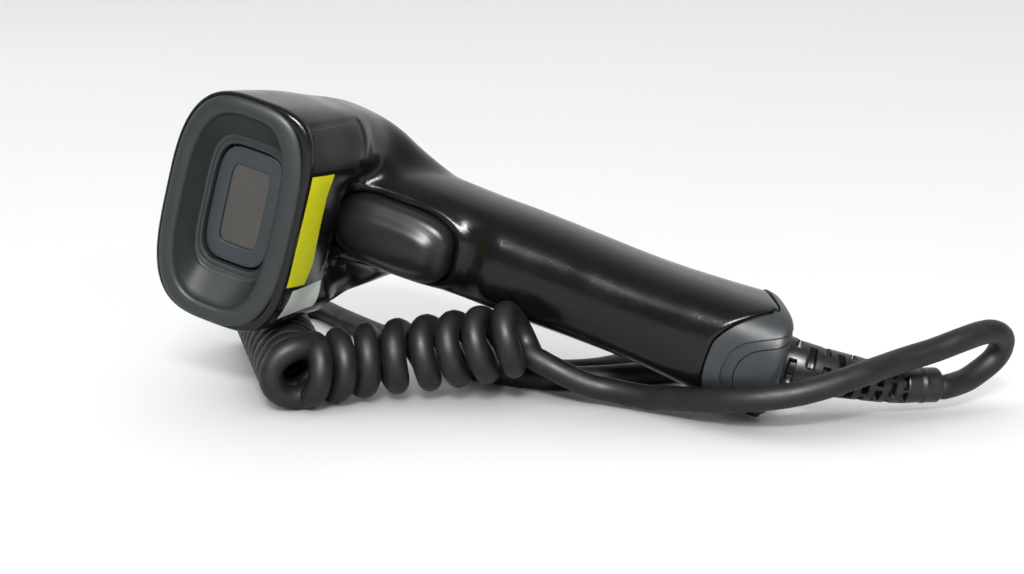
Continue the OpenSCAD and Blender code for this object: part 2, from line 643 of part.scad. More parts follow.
// The relief's outer form: rings along its middle line, joined one to the next
module relief_form() {
    ts = [for (i = [0:12]) i / 12];
    path = [for (t = ts) along(relief_path, t)];
    ns = normals(path, [0, 1, 0]);
    sides = 24;
    points = [for (i = [0:len(ts) - 1]) let (t = tangent(path, i), n = ns[i], b = cross(t, n))
        for (k = [0:sides - 1])
            path[i] + relief_width(ts[i]) * (cos(360 * k / sides) * n + sin(360 * k / sides) * b)];
    polyhedron(points, tube_faces(len(ts), sides), convexity = 6);
}
module cord_plug()
    color("#2a2c30") place() at_handle()
        handle_box(plug_x, -plug_h / 2, plug_w / 2, [plug_l, plug_h]);
module plug_latch()
    color("#34363a") place() at_handle() translate([0, 0, -1.5]) linear_extrude(3)
        polygon([[plug_x + 0.22 * plug_l, plug_h / 2], [plug_x + 0.33 * plug_l, plug_h / 2], [relief_in - 0.4, plug_h / 2 + 1.9],
                 [relief_in - 0.4, plug_h / 2 + 2.7]]);
lead_path = concat([placed(relief_end)], lead_points, [[3.9, 3.9, 17.2]]);
module cord_lead()
    color("#1b1d1f") difference() {
        sweep(lead_path, cord_r, 10, [0, 0, 1]);
        curl_front_form();
        place() at_handle() relief_form();
    }
curl_dir = unit(curl_corner - curl_back);
module curl_back_form()
    translate([curl_back[0], curl_back[1], coil_r]) rotate([0, 90, atan2(curl_dir[1], curl_dir[0])])
        cylinder(r = coil_r, h = norm(curl_corner - curl_back) + cord_d, $fn = 48);
module curl_front_form() sweep(concat([[curl_corner[0], curl_corner[1], coil_r]], curl_front), coil_r, 12, [0, 0, 1]);
module cord_curl_back() color("#1b1d1f") curl_back_form();
module cord_curl_front() color("#1b1d1f") curl_front_form();
tail_path = [for (p = tail_points) [p[0], p[1], cord_r]];
module cord_tail()
    color("#1b1d1f") difference() {
        sweep(tail_path, cord_r, 10, [0, 0, 1]);
        curl_back_form();
    }

// ---------- plug at the cable's end ----------
usb_way = tail_points[len(tail_points) - 1] - tail_points[len(tail_points) - 2];
usb_turn = atan2(usb_way[1], usb_way[0]);
usb_z = 3.9;
boot_l = 8;
grip_l = 20;
shell_l = 12;
tail_end = tail_points[len(tail_points) - 1];
module at_usb() translate([tail_end[0], tail_end[1], usb_z]) rotate([0, 0, usb_turn]) children();
module usb_boot()
    color("#1e2023") at_usb() translate([0, 0, cord_r - usb_z]) rotate([0, 90, 0])
        cylinder(r1 = cord_r, r2 = cord_r + 0.05, h = boot_l, $fn = 40);
module usb_grip()
    color("#222428") at_usb() translate([boot_l, -7.5, -usb_z + 0.1]) cube([grip_l, 15, 2 * usb_z - 0.2]);
module usb_shell()
    color("#b9bec2") at_usb() difference() {
        translate([boot_l + grip_l, -6, -2.25]) cube([shell_l, 12, 4.5]);
        translate([boot_l + grip_l + 0.5, -5.7, -1.95]) cube([shell_l, 11.4, 3.9]);
    }
module usb_tongue()
    color("#e4e6e6") at_usb() translate([boot_l + grip_l + 0.5, -5.6, -1.85]) cube([shell_l - 1.5, 11.2, 1.8]);

// ---------- labels, blank ----------
// Each lies on the underside of the head, with its corners as depth and side
module label_skin(corners)
    place() intersection() {
        difference() {
            head_form(-label_t - seat_gap / 3);
            head_form(-seat_gap / 3);
        }
        translate([nose_h - 20, 0, 0]) rotate([90, 0, 90]) linear_extrude(40) polygon(corners);
    }
label_t = 0.2;
module rating_label() color("#1b1c1e") label_skin([[8, 18.4], [31, 17.6], [28, 30], [8, 30]]);
module caution_label()
    color("#d8cf22") label_skin([[8, -16], [18.4, -17], [20.8, -11], [18.8, 17], [8, 17.4]]);
module serial_label() color("#b9bfbc") label_skin([[10.4, -27], [27.2, -26], [31, -18.6], [12.4, -17.8]]);

front_shell();
rear_cover();
nose_bezel();
window_plate();
scan_window();
window_gasket();
engine_chassis();
image_sensor();
lens_barrel();
lens();
illumination_leds();
laser_aimer();
engine_board();
inner_frame();
main_board();
board_screws();
processor_chip();
memory_chip();
beeper();
flex_cable();
status_lamp();
trigger();
trigger_pin();
trigger_spring();
switch_body();
switch_plunger();
butt_cap();
butt_insert();
cord_jack();
jack_contacts();
rating_label();
caution_label();
serial_label();
strain_relief();
cord_plug();
plug_latch();
cord_lead();
cord_curl_front();
cord_curl_back();
cord_tail();
usb_boot();
usb_grip();
usb_shell();
usb_tongue();
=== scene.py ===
# %% [markdown]
# # A handheld barcode scanner with a curly cable
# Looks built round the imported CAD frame, in metres, with +Z up and the scanner lying on its side.
# Lengths below are in millimetres in the scanner's own frame unless a line says otherwise.

import math

import bmesh
import bpy
import numpy as np
from mathutils import Matrix, Vector


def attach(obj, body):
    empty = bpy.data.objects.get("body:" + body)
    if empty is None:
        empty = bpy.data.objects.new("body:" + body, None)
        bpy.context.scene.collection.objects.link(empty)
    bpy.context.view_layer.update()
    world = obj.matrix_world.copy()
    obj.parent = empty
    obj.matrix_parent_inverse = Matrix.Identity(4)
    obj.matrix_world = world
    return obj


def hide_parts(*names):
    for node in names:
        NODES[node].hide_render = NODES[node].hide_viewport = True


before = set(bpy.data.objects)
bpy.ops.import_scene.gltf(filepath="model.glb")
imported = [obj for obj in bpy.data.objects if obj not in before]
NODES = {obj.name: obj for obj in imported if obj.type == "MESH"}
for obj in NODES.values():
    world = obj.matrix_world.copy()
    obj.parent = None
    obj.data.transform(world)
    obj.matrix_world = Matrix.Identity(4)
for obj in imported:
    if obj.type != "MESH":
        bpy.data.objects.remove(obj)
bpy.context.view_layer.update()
FINE = 0.6
GAP = 0.15


def spin(axis, degrees):
    return Matrix.Rotation(math.radians(degrees), 4, axis)


def shift(x, y=0, z=0):
    return Matrix.Translation((x, y, z))


PLACE = shift(-77.7, -44.7, 61.95) @ spin("Y", 15.2) @ spin("X", -3.5)
NOSE = shift(19.5) @ spin("Z", 13)
HANDLE = shift(41, 61, 0) @ spin("Z", 8.5)


def moved(points, matrix):
    m = np.array(matrix)
    return np.asarray(points, float) @ m[:3, :3].T + m[:3, 3]


def unit(v):
    v = np.asarray(v, float)
    return v / max(np.linalg.norm(v), 1e-9)


def new_object(name, verts, faces, matrix=PLACE, smooth=True):
    """A mesh object from points in millimetres of the frame that the matrix sets down."""
    mesh = bpy.data.meshes.new(name)
    mesh.from_pydata((moved(verts, matrix) / 1000).tolist(), [], [tuple(f) for f in faces])
    mesh.validate()
    bm = bmesh.new()
    bm.from_mesh(mesh)
    bmesh.ops.recalc_face_normals(bm, faces=bm.faces)
    bm.to_mesh(mesh)
    bm.free()
    if smooth:
        mesh.polygons.foreach_set("use_smooth", [True] * len(mesh.polygons))
    obj = bpy.data.objects.new(name, mesh)
    bpy.context.scene.collection.objects.link(obj)
    return obj


def modify(obj, kind, **settings):
    """Applies one modifier to a mesh."""
    mod = obj.modifiers.new(kind, kind)
    for key, value in settings.items():
        setattr(mod, key, value)
    bpy.context.view_layer.update()
    done = bpy.data.meshes.new_from_object(obj.evaluated_get(bpy.context.evaluated_depsgraph_get()))
    old = obj.data
    obj.modifiers.clear()
    obj.data = done
    done.name = obj.name
    bpy.data.meshes.remove(old)
    return obj


def combine(obj, other, operation):
    """Cuts, joins or intersects obj with other, and drops other."""
    spare = obj.data.copy()
    modify(obj, "BOOLEAN", operation=operation, object=other, solver="MANIFOLD")
    if not len(obj.data.polygons):
        # the quick solver gave nothing, so the slower one does it
        obj.data = spare
        modify(obj, "BOOLEAN", operation=operation, object=other, solver="EXACT")
    bpy.data.objects.remove(other)
    return obj


def sharpen(obj, degrees=32):
    """Smooth shading that breaks at real edges."""
    mesh = obj.data
    mesh.polygons.foreach_set("use_smooth", [True] * len(mesh.polygons))
    mesh.set_sharp_from_angle(angle=math.radians(degrees))
    return obj


def copy_of(obj, name):
    twin = obj.copy()
    twin.data = obj.data.copy()
    twin.name = name
    bpy.context.scene.collection.objects.link(twin)
    return twin


def signed_power(v, e):
    return np.sign(v) * np.abs(v) ** e


def oval(low, high, half_w, n, n_high=0, count=160):
    """A rounded outline between an ellipse and a rectangle, as height and width."""
    a = np.linspace(0, 2 * np.pi, count, endpoint=False)
    c, s = np.cos(a), np.sin(a)
    e = np.where(c > 0, 2 / (n_high or n), 2 / n)
    return np.stack([np.where(c < 0, low, high) * signed_power(c, e), half_w * signed_power(s, e)], 1)


def loft(rings):
    """Points and faces of a closed tube through rings of equal length."""
    n = len(rings[0])
    verts = np.concatenate(rings)
    faces = [
        (k * n + i, k * n + (i + 1) % n, (k + 1) * n + (i + 1) % n, (k + 1) * n + i)
        for k in range(len(rings) - 1)
        for i in range(n)
    ]
    faces += [tuple(range(n))[::-1], tuple(range((len(rings) - 1) * n, len(rings) * n))]
    return verts, faces


def prism(outline, low, high, matrix, name="cutter"):
    """A straight prism on an outline of (x, y), from z = low to z = high of the matrix's frame."""
    o = np.asarray(outline, float)
    rings = [np.column_stack([o, np.full(len(o), z)]) for z in (low, high)]
    return new_object(name, *loft(rings), matrix=matrix, smooth=False)


def smooth_path(points, per):
    """A Catmull-Rom curve through points, in per steps from each point to the next."""
    p = np.asarray(points, float)
    p = np.vstack([2 * p[0] - p[1], p, 2 * p[-1] - p[-2]])
    out = []
    for i in range(1, len(p) - 2):
        for t in np.linspace(0, 1, per, endpoint=False):
            a, b, c, d = p[i - 1 : i + 3]
            square = (2 * a - 5 * b + 4 * c - d) * t**2
            out.append(0.5 * (2 * b + (c - a) * t + square + (3 * b - a - 3 * c + d) * t**3))
    out.append(p[-2])
    return np.array(out)


# %% [markdown]
# ## Camera
# It looks at the scanner from the front right, a little above the table.

# %% Camera
# metres for places, millimetres for the lens and the sensor
cam_data = bpy.data.cameras.new("camera")
cam_data.lens = 63.28
cam_data.sensor_width = 36
camera = bpy.data.objects.new("camera", cam_data)
right = Vector((0.848623, 0.528998, 0))
back = Vector((0.5155, -0.826967, 0.224466)).normalized()
up = back.cross(right).normalized()
camera_at = (0.2704, -0.4228, 0.1498)
camera.matrix_world = Matrix.Translation(camera_at) @ Matrix((right, up, back)).transposed().to_4x4()
bpy.context.scene.collection.objects.link(camera)
bpy.context.scene.camera = camera
bpy.context.scene.view_settings.view_transform = "Standard"

# %% [markdown]
# ## The cable's route
# One curve from inside the strain relief, through the standing loop and the curl, to the computer's plug.
# The curl is wound turn by turn round the middles of its turns.

# %% Cable route
CORD = 7.0
CORD_R = CORD / 2
COIL_R = 21.8 / 2
SWELL = 1.02
WIND = COIL_R + 0.1 - CORD_R * SWELL
HANDLE_L = 118.0
BUTT_L = HANDLE_L + 1.3
bend = np.array([[0, 0, 0], [10, 0.75, 0.4], [22.9, 6.8, 1], [34.8, 13.5, 1.8], [45.1, 20.6, 4]])
relief_path = np.array([HANDLE_L, 0, 0]) + bend * 48 / np.linalg.norm(bend[-1])
relief_line = smooth_path(relief_path, 12)
relief_world = moved(relief_line, PLACE @ HANDLE)
lead = [
    [113.9, 59.9, 7.1], [117.5, 67.5, 7.7], [120.5, 72.6, 10.1], [123.2, 75.6, 13.1], [125, 76.1, 16.7],
    [125.7, 74.1, 20.2], [124.8, 70.5, 22.4], [122.5, 66, 23], [118.5, 58.9, 21.8], [113.2, 52.4, 19.6],
    [107.7, 44.7, 18], [104.3, 38.1, 17], [101.1, 31.4, 16.1], [96.8, 25.6, 14.6], [91.9, 20.6, 13],
    [86.7, 16.4, 11.6], [80.6, 12.9, 10.5], [72.5, 11.2, 9.1], [61.4, 11.6, 7.3], [51.3, 13, 6],
    [42.7, 14.3, 4.6], [32.1, 13.8, 5], [23.5, 10.8, 6.9],
]
tail = [
    [-104.2, 24.1], [-110.3, 31.1], [-114.1, 40.4], [-113.3, 49.7], [-105.3, 53.4], [-90.1, 46.3],
    [-71.9, 37.8], [-53.7, 30.1], [-36.6, 22.6], [-23.4, 17.5], [-11.3, 16.5], [0.8, 18], [9.9, 21],
    [19, 28.1], [28.1, 38.2], [36.2, 49.3], [43.2, 60.4], [46.3, 71.5], [43.2, 82.5], [35.1, 86.9],
    [27.1, 83.7], [23, 73.6], [21, 59.4], [19, 47.3], [14.9, 36.2], [7.9, 29.1], [-1.2, 26.1],
    [-10.3, 26.1], [-17.4, 28.6],
]
# Middles of the curl's turns, from its far end to the end beside the trigger
back_way = np.array([0.7193, -0.6947, 0])
ring_1 = np.array([-41.9, -37.3, 11.1])
far_turns = 12
turns = [ring_1 - back_way * 7.15 * k for k in range(far_turns - 1, -1, -1)]
turns += [
    np.array(p)
    for p in (
        [-41.3, -31.8, 11.15], [-37.6, -25.0, 11.3], [-32.7, -17.9, 11.9], [-25.1, -12.2, 12.9],
        [-17.1, -7.8, 14.1], [-9.6, -4.4, 15.5], [-2.1, -1.9, 17.1], [5.6, 1.0, 19.4], [10.6, 3.4, 20],
    )
]
ways = [-44.0] * far_turns + [60, 60, 47.5, 32, 25.3, 20, 22, 27, 30]
# how far each turn's top leans back along the curl
leans = [0.0] * far_turns + [0, 1.0, 1.5, 2.4, 3.0, 3.2, 3.6, 3.0, 2.8]
turns = np.array(turns)
keys = np.arange(len(turns))
k_end = len(turns) - 1 - 0.33
k_start = -0.25
ks = np.arange(k_end, k_start, -1 / 24)
helix = []
for k in ks:
    if k >= 0:
        centre = np.array([np.interp(k, keys, turns[:, j]) for j in range(3)])
    else:
        centre = turns[0] + k * (turns[1] - turns[0])
    # the way turns smoothly between two middles
    i = int(np.clip(math.floor(k), 0, len(ways) - 2))
    t = np.clip(k - i, 0, 1)
    way = math.radians(ways[i] + (ways[i + 1] - ways[i]) * t * t * (3 - 2 * t))
    front = np.array([math.sin(way), -math.cos(way), 0])
    angle = 2 * math.pi * k
    lean = np.interp(k, keys, leans) * np.array([math.cos(way), math.sin(way), 0])
    helix.append(centre + WIND * (math.cos(angle) * front + math.sin(angle) * np.array([0, 0, 1.0]))
                 - lean * math.sin(angle))
helix = np.array(helix)
leave = unit(helix[-1] - helix[-2]) * [1, 1, 0]
end = helix[-1]
side = np.array([-leave[1], leave[0], 0])
turn_r = 9.0
arc = [
    end + turn_r * (math.sin(a) * unit(leave) + (1 - math.cos(a)) * unit(side))
    for a in np.radians([15, 32, 50, 70])
]
for p in arc:
    p[2] = CORD_R + 0.02
flat_tail = [np.array([x, y, CORD_R + 0.02]) for x, y in tail[2:]]
first = relief_world[int(len(relief_world) * 0.55) :]
lead_line = smooth_path(np.vstack([first[-2:], lead, helix[:2]]), 5)
tail_line = smooth_path(np.vstack([helix[-2:], arc, flat_tail]), 5)
route = np.vstack([first[:-2], lead_line[:-6], helix, tail_line[8:]])
steps = np.linalg.norm(np.diff(route, axis=0), axis=1)
route = route[np.concatenate([[True], steps > 0.3])]

curve = bpy.data.curves.new("cable", "CURVE")
curve.dimensions = "3D"
curve.bevel_depth = CORD_R / 1000
curve.bevel_resolution = 6
curve.use_fill_caps = True
spline = curve.splines.new("POLY")
spline.points.add(len(route) - 1)
for point, place in zip(spline.points, route / 1000):
    point.co = (*place, 1)
    # the wound stretch is a little thicker than the straight ones
    wound = np.min(np.linalg.norm(helix[::6] - place * 1000, axis=1)) < 3
    point.radius = SWELL if wound else 1
spline.use_smooth = True
cable = bpy.data.objects.new("cable", curve)
bpy.context.scene.collection.objects.link(cable)

# %% [markdown]
# ## The housing's form
# The head and the handle are each a row of rounded sections, blended where they meet.
# A distance field is the form: a coarse mesh is pulled onto it, so the surface is smooth everywhere.

# %% Form of the housing
# Head: depth from the nose, low and high edge, half width, outline exponent low and high
HEAD = np.array([
    [-6, -1.8, 39.6, 33.7, 3.1, 3.6], [10, -1.8, 39.7, 33.5, 3.1, 3.9], [22, -1.3, 39.2, 33, 2.9, 3.8],
    [34, 0.6, 38.6, 31.8, 2.7, 4], [40, 1.5, 36.6, 31.3, 2.5, 4], [50, 3.6, 37.5, 29.6, 2.4, 2.8],
    [61, 7.6, 42, 25, 2.3, 2.5], [71, 14.4, 47, 17, 2.1, 2.2], [77.5, 24, 48, 11.5, 2, 2],
])
# Handle: place along it, reach to its front and back, half width, outline exponent
GRIP = np.array([
    [-16, 20, 15, 15, 2.3], [-6, 22.6, 17.4, 16.1, 2.4], [8, 22, 18, 15.9, 2.4], [24, 19.6, 18, 15.5, 2.4],
    [40, 18, 18, 15.5, 2.4], [80, 17.6, 17.6, 14.6, 2.5], [98, 17.8, 17.8, 15.3, 2.7],
    [118, 18, 18, 16.6, 3],
])


HEAD_END, GRIP_START = 77.5, -16


def at(table, t):
    """The sections' numbers at t, on a smooth curve through them."""
    x, y = table[:, 0], table[:, 1:]
    rise = np.diff(y, axis=0) / np.diff(x)[:, None]
    slope = np.vstack([rise[0], (rise[1:] + rise[:-1]) / 2, rise[-1]])
    t = np.clip(t, x[0], x[-1])
    i = np.clip(np.searchsorted(x, t) - 1, 0, len(x) - 2)
    h = (x[i + 1] - x[i])[:, None]
    u = ((t - x[i]) / h[:, 0])[:, None]
    return (
        (2 * u**3 - 3 * u**2 + 1) * y[i] + (u**3 - 2 * u**2 + u) * h * slope[i]
        + (3 * u**2 - 2 * u**3) * y[i + 1] + (u**3 - u**2) * h * slope[i + 1]
    )


def radial(a, b, reach_a, reach_b, n):
    """How far the point (a, b) lies outside a rounded outline."""
    r = ((np.abs(a) / reach_a) ** n + (np.abs(b) / reach_b) ** n) ** (1 / n)
    return np.hypot(a, b) * (1 - 1 / np.maximum(r, 1e-3))


def blend_min(a, b, k):
    h = np.clip(0.5 + 0.5 * (b - a) / k, 0, 1)
    return b + (a - b) * h - k * h * (1 - h)


def blend_max(a, b, k):
    return -blend_min(-a, -b, k)


def head_field(p, inset=0.0):
    s = at(HEAD, p[:, 1])
    mid, half = (s[:, 0] + s[:, 1]) / 2, (s[:, 1] - s[:, 0]) / 2 - inset
    n = np.where(p[:, 0] > mid, s[:, 4], s[:, 3])
    f = radial(p[:, 0] - mid, p[:, 2], half, s[:, 2] - inset, n)
    return blend_max(f, p[:, 1] - HEAD_END + inset, 3)


TO_GRIP = HANDLE.inverted()


def grip_field(q, inset=0.0):
    s = at(GRIP, q[:, 0])
    reach = np.where(q[:, 1] < 0, s[:, 0], s[:, 1]) - inset
    return blend_max(radial(q[:, 1], q[:, 2], reach, s[:, 2] - inset, s[:, 3]), GRIP_START - q[:, 0], 2)


def step(x, low, high):
    t = np.clip((x - low) / (high - low), 0, 1)
    return t * t * (3 - 2 * t)


FRONT = 1.4
TO_NOSE = NOSE.inverted()
# The rim round the trigger's opening, and the shallow field on the underside where the labels go
TRIGGER_AT, TRIGGER_HALF, TRIGGER_TURN = 2.7, 19.3, spin("X", 7.5)
TRIGGER_GAP, HOLE_HALF_W, HOLE_N = 0.75, 11.3, 3.3
TO_TRIGGER = TRIGGER_TURN.inverted()


def trigger_off(q, grow=0.0):
    """How far points lie outside the trigger's opening."""
    low = np.where(q[:, 0] > TRIGGER_AT, 0.2, 0.0)
    reach = TRIGGER_HALF + TRIGGER_GAP + low + grow
    return radial(q[:, 0] - TRIGGER_AT, q[:, 2], reach, HOLE_HALF_W + grow, HOLE_N)


def raised(p, q):
    d = trigger_off(q)
    lip = 0.85 * np.exp(-(((d - 1.7) / 1.7) ** 2)) * step(-q[:, 1], 6, 11) * step(p[:, 1], 30, 36)
    mid = (at(HEAD, p[:, 1])[:, 0] + at(HEAD, p[:, 1])[:, 1]) / 2
    panel = step(p[:, 1], 6.4, 7.4) * step(-p[:, 1], -34, -32.6) * step(-np.abs(p[:, 2]), -31.2, -30)
    return lip - 0.35 * panel * step(p[:, 0], mid + 10, mid + 13)


# Lines on the butt: where the housing ends, the cap's ledge and the front pad.
# Then comes its end seen from the side.
BUTT_TURN = 9.5
BUTT_REACH, BUTT_HALF_W, BUTT_N = 18, 16.6, 3
CAP_FRONT, CAP_BACK, BAND, BAND_2 = 16.0, 3.6, 4.8, 3.4
TURN = spin("X", BUTT_TURN)


def end_face(y):
    return 2.2 - 0.555 * (y + 5.8)


def arch_line(half, dx):
    half = smooth_path([[x + dx, z] for x, z in half], 6)
    # the first point is mirrored across the middle, so the tip is round
    x0, z0 = half[0]
    tip = np.array([[x0 - 0.12 * (1 - (t / z0) ** 2), t] for t in np.linspace(0, z0, 5)[:-1]])
    half = np.vstack([tip, half])
    return np.vstack([half[::-1], (half * [1, -1])[1:]])


SHELL_ARCH = arch_line([[0, 2.5], [0.2, 5], [0.7, 7.1], [2.4, 9.8], [4.6, 12.3], [7, 14.1], [9.5, 15.4],
                        [12.1, 16.3], [13.5, 18]], -CAP_FRONT)
LEDGE_ARCH = arch_line([[0, 1.5], [0.3, 3], [1.4, 6.1], [3.4, 8.8], [6.4, 10.5], [10.4, 12.4], [13.6, 13.9],
                        [16, 15.6], [18.2, 18]], BAND - CAP_FRONT)
PAD_ARCH = arch_line([[0, 1.2], [0.5, 3.2], [1.3, 4.9], [3.5, 7.4], [6.5, 9.1], [10.2, 10.9], [12.2, 12.7],
                      [14.8, 14]], BAND + BAND_2 - CAP_FRONT)
END_LINE = np.array([[5.7, -24], [5.6, -18], [5, -13.4], [4.2, -10], [2.2, -5.8], [end_face(24), 24]])


def pushed(line, d):
    """The line moved sideways by d, towards the butt's end."""
    way = np.gradient(line, axis=0)
    way /= np.linalg.norm(way, axis=1)[:, None]
    side = np.stack([-way[:, 1], way[:, 0]], 1)
    side *= np.sign((side[:, 0]).sum())
    return line + side * d


SHELL_SIDE = [[2.5 - CAP_FRONT + 11, -8], [2.5 - CAP_FRONT + 11, -4.5], [end_face(-1.5) - CAP_BACK, -1.5],
              [end_face(24) - CAP_BACK, 24]]


TO_BUTT = TURN.inverted()


def off_line(a, b, line):
    """How far points lie from a line, negative on the side towards the butt's end."""
    best = np.full(len(a), 1e9)
    sign = np.ones(len(a))
    for p, q in zip(line[:-1], line[1:]):
        d = q - p
        t = np.clip(((a - p[0]) * d[0] + (b - p[1]) * d[1]) / max(d @ d, 1e-9), 0, 1)
        u, v = a - p[0] - t * d[0], b - p[1] - t * d[1]
        gap = u * u + v * v
        near = gap < best
        best = np.where(near, gap, best)
        sign = np.where(near, np.sign(d[1] * u - d[0] * v), sign)
    return np.sqrt(best) * sign


def butt_cut(q):
    """Negative where the butt's own pieces take the housing's place."""
    w = moved(q, TO_BUTT)
    near = q[:, 0] > 90
    out = np.full(len(q), 20.0)
    if not near.any():
        return out
    w = w[near]
    front = np.maximum(off_line(w[:, 0] - BUTT_L, w[:, 2], ARCH_SIDE), w[:, 1] + 6)
    side = np.maximum(off_line(w[:, 0] - BUTT_L, w[:, 1], np.array(SHELL_SIDE)), -8 - w[:, 1])
    out[near] = np.minimum(front, side)
    return out


ARCH_SIDE = np.vstack([[[40, SHELL_ARCH[0][1]]], SHELL_ARCH, [[40, SHELL_ARCH[-1][1]]]])
if np.sign(off_line(np.array([5.0]), np.array([0.0]), ARCH_SIDE))[0] > 0:
    ARCH_SIDE = ARCH_SIDE[::-1]
if np.sign(off_line(np.array([30.0]), np.array([0.0]), np.array(SHELL_SIDE)))[0] > 0:
    SHELL_SIDE = SHELL_SIDE[::-1]


def body_field(p, inset=0.0):
    q = moved(p, TO_GRIP)
    f = blend_min(head_field(p, inset), grip_field(q, inset), 7)
    # the hollow round the trigger's upper end
    t = moved(q, TO_TRIGGER)
    slope = -((p[:, 0] - 39.6) * 0.88 + (p[:, 1] - 21.5) * 0.478)
    f = blend_max(f, inset - blend_max(blend_max(trigger_off(t, 5), t[:, 1] + 17.5, 4), slope, 5), 9)
    if inset:
        return f
    # the edges are rounded where the housing meets the bezel and the butt
    f = blend_max(f - raised(p, t), FRONT - moved(p, TO_NOSE)[:, 1], 1.8)
    return blend_max(f, -butt_cut(q), 1.6)


def settle(obj, field, rounds=7):
    """Pulls a mesh onto its field, evening it out along the surface."""
    mesh = obj.data
    co = np.empty(len(mesh.vertices) * 3)
    mesh.vertices.foreach_get("co", co)
    v = moved(co.reshape(-1, 3) * 1000, PLACE.inverted())
    edges = np.empty(len(mesh.edges) * 2, int)
    mesh.edges.foreach_get("vertices", edges)
    a, b = edges.reshape(-1, 2).T
    count = np.bincount(a, minlength=len(v)) + np.bincount(b, minlength=len(v))
    for k in range(rounds):
        if k < rounds - 2:
            total = np.zeros_like(v)
            for j in range(3):
                total[:, j] = np.bincount(a, v[b, j], len(v)) + np.bincount(b, v[a, j], len(v))
            v = v + 0.5 * (total / count[:, None] - v)
        for _ in range(2):
            f = field(v)
            g = np.stack([(field(v + e) - f) / 0.02 for e in np.eye(3) * 0.02], 1)
            v = v - (np.clip(f, -1.5, 1.5) / np.maximum((g * g).sum(1), 0.05))[:, None] * g
    mesh.vertices.foreach_set("co", (moved(v, PLACE) / 1000).ravel())
    mesh.update()
    return obj


def remesh(obj, size):
    return modify(obj, "REMESH", mode="VOXEL", voxel_size=size / 1000, use_smooth_shade=True)


def stations(low, high, pace):
    return np.linspace(low, high, max(3, int((high - low) / pace)))


def body_skin(name, inset, size):
    rings = []
    for y in stations(-6, 77.4 - inset, 2.0):
        s = at(HEAD, np.array([y]))[0]
        ring = oval((s[1] - s[0]) / 2 - inset, (s[1] - s[0]) / 2 - inset, s[2] - inset, s[3], s[4])
        rings.append(np.column_stack([ring[:, 0] + (s[0] + s[1]) / 2, np.full(len(ring), y), ring[:, 1]]))
    head = new_object(name, *loft(rings))
    rings = []
    for x in stations(-15.5 + inset, 128, 2.0):
        s = at(GRIP, np.array([x]))[0]
        ring = oval(s[0] - inset, s[1] - inset, s[2] - inset, s[3])
        rings.append(np.column_stack([np.full(len(ring), x), ring[:, 0], ring[:, 1]]))
    grip = new_object("grip", *loft(rings), matrix=PLACE @ HANDLE)
    combine(head, grip, "UNION")
    if not inset:
        plane = [[-60, -60], [60, -60], [60, FRONT], [-60, FRONT]]
        combine(head, prism(plane, -60, 60, PLACE @ NOSE), "DIFFERENCE")
        combine(head, cap_cutter(), "DIFFERENCE")
    remesh(head, size)
    return settle(head, lambda p: body_field(p, inset))


# %% [markdown]
# ## Cutting the housing
# The butt's arch, the trigger's opening and the seam are cut from the skin, which is then hollowed.

# %% Cutters
def arch_cutter(line, d=0.0, depth=-6.0, far=46.0):
    """Everything on the front of the butt past an arch."""
    line = pushed(line, d)
    outline = np.vstack([line, [[40, line[-1][1]], [40, line[0][1]]]]) + [BUTT_L, 0]
    frame_of = PLACE @ HANDLE @ TURN @ spin("X", 90)
    # the outline's (x, z) become (x, y) of a frame whose z is the butt's -y
    return prism(outline, -depth + d, far, frame_of, "arch")


def side_cutter(points, turn, d=0.0):
    """Everything past an edge that is seen from the side."""
    p = np.array(points, float) + [BUTT_L + d, 0]
    outline = np.vstack([p, [[BUTT_L + 60, p[-1][1]], [BUTT_L + 60, p[0][1]]]])
    return prism(outline, -40, 40, PLACE @ HANDLE @ spin("X", turn), "side")


def cap_cutter(d=0.0):
    cutter = arch_cutter(SHELL_ARCH, d)
    return combine(cutter, side_cutter(SHELL_SIDE, BUTT_TURN, d), "UNION")


seam_line = [[5, -12], [8, 24], [12, 40], [21, 53], [34, 63]]
grip_ends = moved([[8, 8, 0], [HANDLE_L + 10, 8, 0]], HANDLE)[:, :2]
seam_line = smooth_path(np.vstack([seam_line, grip_ends[:1]]), 6)
seam_line = np.vstack([seam_line, grip_ends[1:]])


def rear_cutter(d):
    way = np.gradient(seam_line, axis=0)
    way /= np.linalg.norm(way, axis=1)[:, None]
    line = seam_line + np.stack([-way[:, 1], way[:, 0]], 1) * d
    outline = np.vstack([line, [[line[-1][0], 140], [-60, 140], [-60, -12]]])
    return prism(outline, -60, 60, PLACE, "rear")


# %% Housing halves
body = body_skin("front_housing", 0.0, FINE)
hollow = body_skin("hollow", 2.2, 1.4)
combine(body, hollow, "DIFFERENCE")
hole = oval(TRIGGER_HALF + TRIGGER_GAP, TRIGGER_HALF + 0.95, HOLE_HALF_W, HOLE_N) + [TRIGGER_AT, 0]
hole_frame = PLACE @ HANDLE @ TRIGGER_TURN @ spin("X", 90)
combine(body, prism(hole, 8.6, 23.5, hole_frame, "hole"), "DIFFERENCE")
rear = copy_of(body, "rear_housing")
combine(body, rear_cutter(-0.12), "DIFFERENCE")
combine(rear, rear_cutter(0.12), "INTERSECT")
for piece in (body, rear):
    sharpen(piece, 35)

# %% [markdown]
# ## Nose, trigger and butt
# The bezel is one ring with a rounded rim, a funnel and two fine steps round the window plate.

# %% Nose
def nose_ring(y, m, count=192):
    # the rim is widest on the label's side
    return ring_at(y, 20.3 - m, 19.5 - m - 0.3 * max(m - 1, 0), 33 - m, 3.1, count)


def ring_at(y, low, high, half_w, n, count=192):
    o = oval(low, high, half_w, n, count=count)
    return np.column_stack([o[:, 0], np.full(len(o), y), o[:, 1]])


def between(a, b, t):
    return a + (b - a) * t


